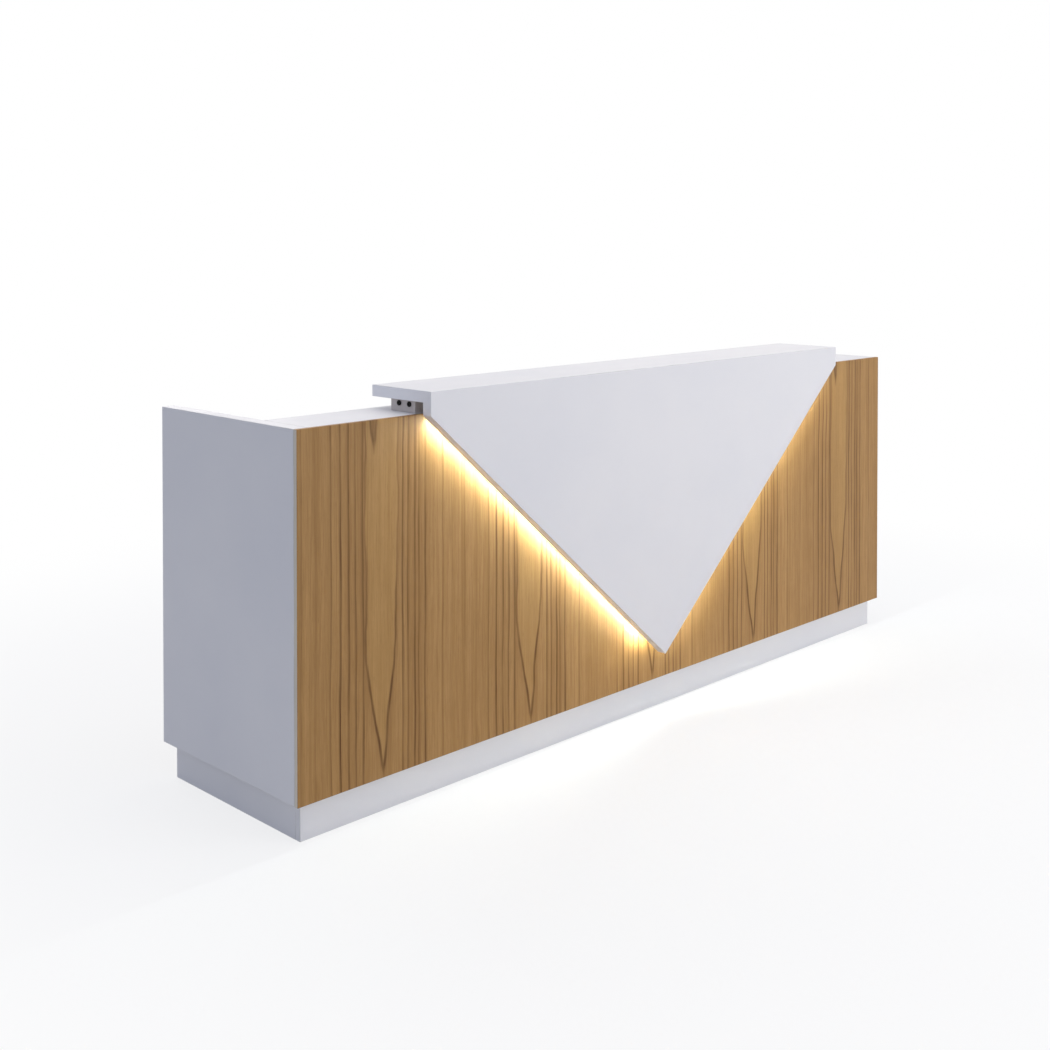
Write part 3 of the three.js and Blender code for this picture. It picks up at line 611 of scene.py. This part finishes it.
# %% Pedestal sides
for word in ("left", "right"):
    node = "pedestal_side_" + word
    low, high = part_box(node)
    plinth_low, plinth_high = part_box("plinth_front")
    notch = plinth_high.y
    corners = [(notch, low.z), (high.y, low.z), (high.y, high.z), (low.y, high.z), (low.y, plinth_high.z),
               (notch, plinth_high.z)]
    bm = bmesh.new()
    verts = add_prism(bm, [(low.x, y, z) for y, z in corners], (high.x - low.x, 0, 0))
    soften(bm, edges_of(verts), BOARD_RADIUS)
    stand_in(node, bm, white_laminate)
print("pedestal sides: 2")

# %% [markdown]
# ## The veneered front
# The front panel is one board, veneered on its face. In the photo its end edge is a thin pale band, so
# the faces that look along X get a second material.


# %% Front panel, drawer fronts and door
def band(bm, is_edge):
    """Gives the faces whose normal is that of a banded edge the second material."""
    bmesh.ops.recalc_face_normals(bm, faces=bm.faces)
    for face in bm.faces:
        if is_edge(face.normal):
            face.material_index = 1


PANEL_RADIUS = 0.0008
FRONT_RADIUS = 0.0012
bm = soft_block(panel_low, panel_high, PANEL_RADIUS)
band(bm, lambda normal: abs(normal.x) > 0.9)
stand_in("front_panel", bm, teak_front, cream_band)
for node in ("drawer_front_bottom", "drawer_front_middle", "drawer_front_top"):
    stand_in(node, soft_block(*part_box(node), FRONT_RADIUS), teak_drawers)
stand_in("cupboard_door", soft_block(door_low, door_high, FRONT_RADIUS), teak_door)
print("veneered pieces: 5")

# %% [markdown]
# ## Counter and V panel
# The counter and the V are one folded sheet to the eye: two boards that meet in a mitre along the top
# front edge. Each is made whole, softened, and then cut along the same slanting plane, so that the two
# halves of the fold's rounding meet without a groove. The thin edges have a band of a brighter white than
# the laminate: partly a real edge band, partly painted light that brightens the shaded end of the counter
# and the V's slanting edges.


# %% Counter and V panel
def mitre(bm, edge_point, away):
    """Cuts a board along a plane through an edge point, drops the side it looks to, and closes the cut."""
    geom = bm.verts[:] + bm.edges[:] + bm.faces[:]
    made = bmesh.ops.bisect_plane(bm, geom=geom, plane_co=edge_point, plane_no=away, clear_outer=True)
    cut = [item for item in made["geom_cut"] if isinstance(item, bmesh.types.BMEdge)]
    bmesh.ops.contextual_create(bm, geom=cut)


counter_low, counter_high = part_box("counter_top")
vee_low, vee_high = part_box("vee_panel")
fold = Vector((0, counter_low.y, counter_high.z))
VEE_RADIUS = 0.0012

bm = soft_block(counter_low, counter_high, VEE_RADIUS)
mitre(bm, fold, Vector((0, -1, -1)))
# The counter's thin edges, its shaded end among them, get the bright band, which is partly painted light
band(bm, lambda normal: abs(normal.z) < 0.1)
stand_in("counter_top", bm, white_laminate, white_band_and_painted_light)

shoulder = panel_high.z
corners = [(vee_low.x, counter_high.z), (vee_low.x, shoulder), (0, vee_low.z), (vee_high.x, shoulder),
           (vee_high.x, counter_high.z)]
bm = bmesh.new()
add_prism(bm, [(x, vee_low.y, z) for x, z in corners], (0, vee_high.y - vee_low.y, 0))
soften(bm, bm.edges[:], VEE_RADIUS)
mitre(bm, fold, Vector((0, 1, 1)))
# The V's thin edges get the same bright band, which is partly painted light
band(bm, lambda normal: abs(normal.y) < 0.1)
stand_in("vee_panel", bm, white_laminate, white_band_and_painted_light)
print("counter and V, fold at", [round(v, 3) for v in fold])

# %% [markdown]
# ## Worktop
# The worktop has two round cable holes. It starts as a grid whose lines run past the holes; the two
# squares around them are opened, bridged to circles, and the sheet is pulled to the board's thickness.

# %% Worktop with cable holes
HOLE_RADIUS = 0.030
HOLE_SEGMENTS = 48
SAME_PLACE = 0.001
SHARP_TURN = 1.0
work_low, work_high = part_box("worktop")
bm = bmesh.new()
columns = [work_low.x]
for word in ("left", "right"):
    ring_low, ring_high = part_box("grommet_ring_" + word)
    middle = (ring_low + ring_high) / 2
    columns += [middle.x - 2 * HOLE_RADIUS, middle.x + 2 * HOLE_RADIUS]
columns.append(work_high.x)
rows = [work_low.y, middle.y - 2 * HOLE_RADIUS, middle.y + 2 * HOLE_RADIUS, work_high.y]
bmesh.ops.create_grid(bm, x_segments=len(columns) - 1, y_segments=len(rows) - 1, size=1)
for vert in bm.verts:
    column = round((vert.co.x + 1) / 2 * (len(columns) - 1))
    row = round((vert.co.y + 1) / 2 * (len(rows) - 1))
    vert.co = (columns[column], rows[row], work_high.z)
squares = [face for face in bm.faces
           if abs(face.calc_center_median().y - middle.y) < SAME_PLACE
           and abs(abs(face.calc_center_median().x) - abs(middle.x)) < SAME_PLACE]
for face in squares:
    centre = face.calc_center_median()
    rim = list(face.edges)
    bmesh.ops.delete(bm, geom=[face], context="FACES_ONLY")
    circle = bmesh.ops.create_circle(bm, segments=HOLE_SEGMENTS, radius=HOLE_RADIUS, cap_ends=False,
                                     matrix=Matrix.Translation(centre))["verts"]
    bmesh.ops.bridge_loops(bm, edges=rim + edges_of(circle))
lower = new_verts(bmesh.ops.extrude_face_region(bm, geom=bm.faces[:]))
bmesh.ops.translate(bm, vec=(0, 0, work_low.z - work_high.z), verts=lower)
bmesh.ops.recalc_face_normals(bm, faces=bm.faces)
sharp = [edge for edge in bm.edges if len(edge.link_faces) == 2 and edge.calc_face_angle() > SHARP_TURN
         and abs(edge.verts[0].co.z - edge.verts[1].co.z) < SAME_PLACE]
soften(bm, sharp, BOARD_RADIUS)
stand_in("worktop", bm, white_laminate)
print("worktop faces around", len(squares), "holes")

# %% [markdown]
# ## Drawer trays and runners
# A tray is a block whose top is inset by the wall and pushed down to the floor. On each side of a tray
# sits the moving rail of its runner, a folded steel channel that slides inside the fixed one on the
# carcass.

# %% Drawer trays and moving rails
TRAY_WALL = 0.012
TRAY_FLOOR = 0.010
TRAY_RADIUS = 0.0015
RAIL_GAP = 0.004
RAIL_DEPTH = 0.009
RAIL_WALL = 0.002
RAIL_SETBACK = 0.01
RAIL_RADIUS = 0.0004
for word in ("bottom", "middle", "top"):
    node = "drawer_tray_" + word
    low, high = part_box(node)
    bm = bmesh.new()
    add_block(bm, low, high)
    top = max(bm.faces, key=lambda face: face.calc_center_median().z)
    bmesh.ops.inset_region(bm, faces=[top], thickness=TRAY_WALL, use_even_offset=True)
    pushed = new_verts(bmesh.ops.extrude_face_region(bm, geom=[top]))
    bmesh.ops.delete(bm, geom=[top], context="FACES_ONLY")
    bmesh.ops.translate(bm, vec=(0, 0, low.z + TRAY_FLOOR - high.z), verts=pushed)
    soften(bm, bm.edges[:], TRAY_RADIUS)
    stand_in(node, bm, grey_plastic)

    for side, tray_face, sign in (("left", low.x, -1), ("right", high.x, 1)):
        runner_low, runner_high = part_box(f"drawer_runner_{word}_{side}")
        foot = runner_low.z + RAIL_GAP
        head = runner_high.z - RAIL_GAP
        near = tray_face
        web = tray_face + sign * RAIL_WALL
        far = tray_face + sign * RAIL_DEPTH
        corners = [(near, foot), (far, foot), (far, foot + RAIL_WALL), (web, foot + RAIL_WALL),
                   (web, head - RAIL_WALL), (far, head - RAIL_WALL), (far, head), (near, head)]
        start = runner_low.y + RAIL_SETBACK
        bm = bmesh.new()
        add_prism(bm, [(x, start, z) for x, z in corners], (0, runner_high.y - start, 0))
        soften(bm, bm.edges[:], RAIL_RADIUS, 2)
        finish_piece(f"drawer_rail_{word}_{side}", bm, [zinc_steel], "drawer_" + word)
print("trays: 3, moving rails: 6")

# %% [markdown]
# ## Handles
# The bow handles are bent from flat bar. The outline is pulled to the bar's width, then the two outer
# corners get a large radius and every other edge a small one.


# %% Bow handles
BAR = 0.010
BEND_RADIUS = 0.008
BAR_RADIUS = 0.0012
BAR_SHARP_TURN = 0.6


def bow_handle(node, lengthwise, material):
    """A bow between the ends of its box; lengthwise is 0 for a level handle and 2 for an upright one."""
    low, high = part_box(node)
    across = 2 - lengthwise
    near, far = low[lengthwise], high[lengthwise]
    foot, grip = low.y, high.y
    corners = [(near, foot), (near + BAR, foot), (near + BAR, grip - BAR), (far - BAR, grip - BAR),
               (far - BAR, foot), (far, foot), (far, grip), (near, grip)]
    points = []
    for along, out in corners:
        point = Vector((0, out, 0))
        point[lengthwise] = along
        point[across] = low[across]
        points.append(point)
    pull = Vector((0, 0, 0))
    pull[across] = high[across] - low[across]
    bm = bmesh.new()
    add_prism(bm, points, pull)
    outer = [edge for edge in bm.edges
             if all(abs(vert.co.y - grip) < 1e-5 for vert in edge.verts) and edge.calc_length() < 2 * BAR]
    bmesh.ops.bevel(bm, geom=outer, offset=BEND_RADIUS, offset_type="OFFSET", segments=6, profile=0.5,
                    affect="EDGES", material=-1)
    bmesh.ops.recalc_face_normals(bm, faces=bm.faces)
    sharp = [edge for edge in bm.edges if edge.calc_face_angle() > BAR_SHARP_TURN]
    soften(bm, sharp, BAR_RADIUS)
    return stand_in(node, bm, material)


for word in ("bottom", "middle", "top"):
    bow_handle("drawer_handle_" + word, 0, aluminium_along)
bow_handle("cupboard_handle", 2, aluminium_upright)
print("handles: 4")

# %% [markdown]
# ## Round fittings
# Cable grommets, screws and pins are round, so each is half a profile spun about its axis. The spin
# closes on itself, so its last ring is merged with its first.


# %% Grommet rings and screws
def add_spin(bm, profile, centre, direction, steps=48):
    """Spins a profile of (radius, height) pairs about an axis through centre; returns its vertices."""
    start = [bm.verts.new((radius, 0, height)) for radius, height in profile]
    edges = [bm.edges.new(pair) for pair in zip(start, start[1:])]
    known = set(bm.verts)
    bmesh.ops.spin(bm, geom=start + edges, cent=(0, 0, 0), axis=(0, 0, 1), dvec=(0, 0, 0), angle=math.tau,
                   steps=steps, use_merge=True)
    verts = start + [vert for vert in bm.verts if vert not in known]
    bmesh.ops.remove_doubles(bm, verts=verts, dist=1e-6)
    verts = [vert for vert in verts if vert.is_valid]
    turn = Vector(direction).to_track_quat("Z", "Y").to_matrix().to_4x4()
    bmesh.ops.transform(bm, matrix=Matrix.Translation(centre) @ turn, verts=verts)
    return verts


SCREW_HEAD = [(0, 0.0006), (0.0012, 0.0006), (0.0013, 0.0012), (0.0028, 0.0010), (0.0036, 0.0004),
              (0.0038, 0)]


def screw_heads(name, places, direction, body):
    bm = bmesh.new()
    for place in places:
        add_spin(bm, SCREW_HEAD, place, direction, steps=20)
    return finish_piece(name, bm, [zinc_steel], body)


RING_BORE = 0.023
RING_SLEEVE = 0.0295
RING_SEAT = 0.0261
RING_TOP = 0.003
for word in ("left", "right"):
    node = "grommet_ring_" + word
    low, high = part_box(node)
    centre = Vector(((low.x + high.x) / 2, (low.y + high.y) / 2, work_high.z))
    drop = low.z - work_high.z
    flange = (high.x - low.x) / 2
    profile = [(RING_BORE, drop), (RING_SLEEVE, drop), (RING_SLEEVE, 0), (flange - 0.0005, 0),
               (flange, 0.0006), (flange, 0.0014), (flange - 0.0006, 0.0024), (flange - 0.002, RING_TOP),
               (RING_SEAT + 0.0007, RING_TOP), (RING_SEAT, RING_TOP - 0.0004), (RING_SEAT, 0),
               (RING_BORE + 0.0006, 0), (RING_BORE, -0.0006), (RING_BORE, drop)]
    bm = bmesh.new()
    add_spin(bm, profile, centre, (0, 0, 1), steps=64)
    stand_in(node, bm, grey_plastic)
print("grommet rings: 2")

# %% [markdown]
# ## Driver of the light strips
# The driver's case is moulded plastic with rounded edges, on a plate whose two ears are screwed to the
# board. A cable gland closes each end: a nut with a domed front, spun about the length of the case.

# %% Light driver
driver_low, driver_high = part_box("led_driver")
EAR = 0.016
PLATE = 0.004
CASE_RADIUS = 0.003
PLATE_RADIUS = 0.0008
EAR_SCREW_X = 0.006
EAR_SCREW_Z = 0.008
GLAND_PROFILE = [(0, 0.010), (0.003, 0.010), (0.0032, 0.0128), (0.0045, 0.0135), (0.0062, 0.0115),
                 (0.0070, 0.0085), (0.0070, 0.0), (0, 0.0)]
case_low = Vector((driver_low.x + EAR, driver_low.y + PLATE, driver_low.z))
case_high = Vector((driver_high.x - EAR, driver_high.y, driver_high.z))
bm = bmesh.new()
soften(bm, edges_of(add_block(bm, case_low, case_high)), CASE_RADIUS, 4)
plate_high = (driver_high.x, driver_low.y + PLATE, driver_high.z)
soften(bm, edges_of(add_block(bm, driver_low, plate_high)), PLATE_RADIUS, 2)
case_middle = (case_low + case_high) / 2
for end, direction in ((case_low.x, -1), (case_high.x, 1)):
    add_spin(bm, GLAND_PROFILE, (end, case_middle.y, case_middle.z), (direction, 0, 0), steps=32)
stand_in("led_driver", bm, grey_plastic)
ear_screws = [(x, driver_low.y + PLATE, z)
              for x in (driver_low.x + EAR_SCREW_X, driver_high.x - EAR_SCREW_X)
              for z in (driver_low.z + EAR_SCREW_Z, driver_high.z - EAR_SCREW_Z)]
screw_heads("led_driver_screws", ear_screws, (0, 1, 0), "desk")
print("driver case:", [round(v, 3) for v in case_high - case_low])

# %% [markdown]
# ## Fittings that keep their solids
# Bolts, hinge leaves, fixed runners, light channels, grommet caps and the switch already have the right
# form. They get their finish and, so that they catch the light, a small bevel. The bevel is a modifier:
# the solid's triangles are first welded at their shared corners, because they arrive loose.

# %% Finishes and soft edges of the remaining solids
KEPT = {
    "riser_bolt": black_steel, "hinge": zinc_steel, "drawer_runner": zinc_steel,
    "led_channel": aluminium_along, "led_diffuser": opal_lit, "grommet_cap": grey_plastic,
    "switch": white_plastic,
}
SOLID_BEVEL = 0.0003
WELD_DISTANCE = 0.00001
BEVEL_ANGLE = math.radians(40)
kept_count = 0
for node, solid in frame["nodes"].items():
    for start, material in KEPT.items():
        if not node.startswith(start):
            continue
        solid.data.materials.clear()
        solid.data.materials.append(material)
        solid.modifiers.new("weld", "WELD").merge_threshold = WELD_DISTANCE
        bevel = solid.modifiers.new("soft edges", "BEVEL")
        bevel.width = SOLID_BEVEL
        bevel.segments = 2
        bevel.limit_method = "ANGLE"
        bevel.angle_limit = BEVEL_ANGLE
        bevel.harden_normals = True
        kept_count += 1
print("kept solids:", kept_count)

# %% [markdown]
# ## Screws and shelf pins
# Each hinge leaf is held by three screws. The cupboard's shelf lies on four steel pins, which sit in
# holes in the sides of the cupboard.

# %% Screws and shelf pins
LEAF_THICKNESS = 0.002
SCREW_FROM_END = 0.010
SCREW_FROM_SIDE = 0.009
for word in ("upper", "lower"):
    low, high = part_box("hinge_door_leaf_" + word)
    heights = [low.z + SCREW_FROM_END, (low.z + high.z) / 2, high.z - SCREW_FROM_END]
    places = [(low.x + SCREW_FROM_SIDE, low.y + LEAF_THICKNESS, z) for z in heights]
    screw_heads("hinge_door_screws_" + word, places, (0, 1, 0), "cupboard_door")
    low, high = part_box("hinge_fixed_leaf_" + word)
    places = [(high.x - LEAF_THICKNESS, high.y - SCREW_FROM_SIDE, z) for z in heights]
    screw_heads("hinge_fixed_screws_" + word, places, (-1, 0, 0), "desk")

PIN_RADIUS = 0.0025
PIN_COLLAR = 0.0042
PIN_FROM_END = 0.05
PIN_PROFILE = [(0, 0.008), (0.0018, 0.008), (PIN_RADIUS, 0.0072), (PIN_RADIUS, 0.001), (PIN_COLLAR, 0.001),
               (PIN_COLLAR, 0)]
shelf_low, shelf_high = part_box("cupboard_shelf")
wall_low, wall_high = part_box("pedestal_side_right")
side_low, side_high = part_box("side_panel_right")
bm = bmesh.new()
for y in (shelf_low.y + PIN_FROM_END, shelf_high.y - PIN_FROM_END):
    add_spin(bm, PIN_PROFILE, (wall_high.x, y, shelf_low.z - PIN_RADIUS), (1, 0, 0), steps=20)
    add_spin(bm, PIN_PROFILE, (side_low.x, y, shelf_low.z - PIN_RADIUS), (-1, 0, 0), steps=20)
finish_piece("shelf_pins", bm, [zinc_steel], "desk")
print("shelf pins: 4")

# %% [markdown]
# ## End caps of the light strips
# A light channel is closed at both ends by a small plastic cap. The upper cap is opaque; the lower one is
# opal like the strip, so that the light runs on to the V's point. A cap is a block in the strip's own
# frame, whose X runs down the V's edge and whose Z points into the V; the frame is then turned into
# place, and mirrored for the right strip.

# %% End caps
EDGE_INSET = 0.012
CHANNEL_HEIGHT = 0.016
STRIP_TOP_MARGIN = 0.040
STRIP_APEX_MARGIN = 0.075
CAP_THICKNESS = 0.002
CAP_GAP = 0.0002
CAP_RADIUS = 0.0005
channel_low, channel_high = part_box("led_channel_left")
slant = Vector((-vee_low.x, 0, vee_low.z - shoulder))
down = slant.normalized()
inward = Vector((-down.z, 0, down.x))
place = Matrix((down, (0, 1, 0), inward)).transposed().to_4x4()
place.translation = (vee_low.x, 0, shoulder)
CAPS = [("upper", STRIP_TOP_MARGIN - CAP_GAP - CAP_THICKNESS, grey_plastic, "grey_plastic"),
        ("lower", slant.length - STRIP_APEX_MARGIN + CAP_GAP, opal_lit, SLOT_OF["led_diffuser_left"])]
for word, side in (("left", 1), ("right", -1)):
    mirror = Matrix.Diagonal((side, 1, 1, 1))
    for end, start, material, slot in CAPS:
        bm = soft_block((start, channel_low.y, EDGE_INSET),
                        (start + CAP_THICKNESS, channel_high.y, EDGE_INSET + CHANNEL_HEIGHT), CAP_RADIUS, 2)
        bmesh.ops.transform(bm, matrix=mirror @ place, verts=bm.verts)
        finish_piece(f"led_end_cap_{word}_{end}", bm, [material], "desk")
print("end caps:", 2 * len(CAPS))

# %% [markdown]
# ## Floor and light
# The floor is pale and plain. Close to the desk it takes a light shadow; further out the camera sees it
# fade to the white of the background. Light that bounces off it comes from a slightly greyer floor,
# because the camera's white would brighten the shaded end of the desk. A large lamp hangs overhead, one
# stands in front to the right, a weaker one behind, and the sky around is dim and a little cool.

# %% Floor
FLOOR_RADIUS = 14
FADE_START = 1.3
FADE_END = 3.2
WHITE_NEAR_DESK = 0.75
FLOOR_SEEN = srgb(250, 250, 250)
FLOOR_BOUNCE = srgb(214, 212, 208)
PURE_WHITE = (1, 1, 1, 1)


def seen_directly(network):
    """1 for rays that carry a picture of a surface to the camera, 0 for light that only falls on others."""
    ray = network.add("LightPath").outputs
    mirrored = network.math("MAXIMUM", ray["Is Glossy Ray"], ray["Is Transmission Ray"])
    return network.math("MAXIMUM", ray["Is Camera Ray"], mirrored)


bm = bmesh.new()
bmesh.ops.create_circle(bm, segments=64, radius=FLOOR_RADIUS, cap_ends=True)
mesh = bpy.data.meshes.new("floor")
bm.to_mesh(mesh)
bm.free()
floor = bpy.data.objects.new("floor", mesh)
bpy.context.collection.objects.link(floor)

material = bpy.data.materials.new("pale floor")
material.use_nodes = True
material.node_tree.nodes.clear()
network = Network(material.node_tree)
seen = seen_directly(network)
paint = network.add("BsdfDiffuse", {"Color": network.mix(seen, FLOOR_BOUNCE, FLOOR_SEEN)})
glow = network.add("Emission", {"Color": PURE_WHITE, "Strength": 1.0})
x, y, z = network.separate(network.add("TexCoord").outputs["Object"])
away_squared = network.math("ADD", network.math("POWER", x, 2.0), network.math("POWER", y, 2.0))
away = network.math("SQRT", away_squared)
far = network.spread(away, FADE_START, FADE_END, WHITE_NEAR_DESK, 1.0, kind="SMOOTHSTEP")
share = network.math("MULTIPLY", far, seen)
blend = network.add("MixShader", {0: share, 1: paint.outputs[0], 2: glow.outputs[0]})
network.add("OutputMaterial", {"Surface": blend.outputs[0]})
mesh.materials.append(material)
print("floor radius:", FLOOR_RADIUS, "m")


# %% Lamps and sky
def area_lamp(name, place, aim, size, power, colour):
    data = bpy.data.lights.new(name, "AREA")
    data.shape = "RECTANGLE"
    data.size, data.size_y = size
    data.energy = power
    data.color = colour
    lamp = bpy.data.objects.new(name, data)
    lamp.location = place
    lamp.rotation_euler = (Vector(aim) - Vector(place)).to_track_quat("-Z", "Y").to_euler()
    bpy.context.collection.objects.link(lamp)
    return lamp


area_lamp("overhead lamp", (0.4, -0.2, 3.6), (0.2, 0.0, 0.0), (4.2, 3.0), 44, (1.0, 0.91, 0.76))
area_lamp("front lamp", (1.8, -4.4, 2.0), (0.1, -0.3, 0.55), (4.0, 2.6), 91, (1.0, 0.985, 0.955))
area_lamp("rear lamp", (0.3, 4.4, 2.4), (0.0, 0.2, 0.5), (3.6, 2.4), 55, (1.0, 0.95, 0.88))

world = bpy.data.worlds.new("sky")
bpy.context.scene.world = world
world.use_nodes = True
world.node_tree.nodes.clear()
network = Network(world.node_tree)
SKY = (0.42, 0.455, 0.555, 1.0)
sky_colour = network.mix(seen_directly(network), SKY, PURE_WHITE)
sky = network.add("Background", {"Color": sky_colour, "Strength": 1.0})
network.add("OutputWorld", {"Surface": sky.outputs[0]})
bpy.context.scene.view_settings.view_transform = "Standard"
print("lamps: 3, sky", SKY[:3])
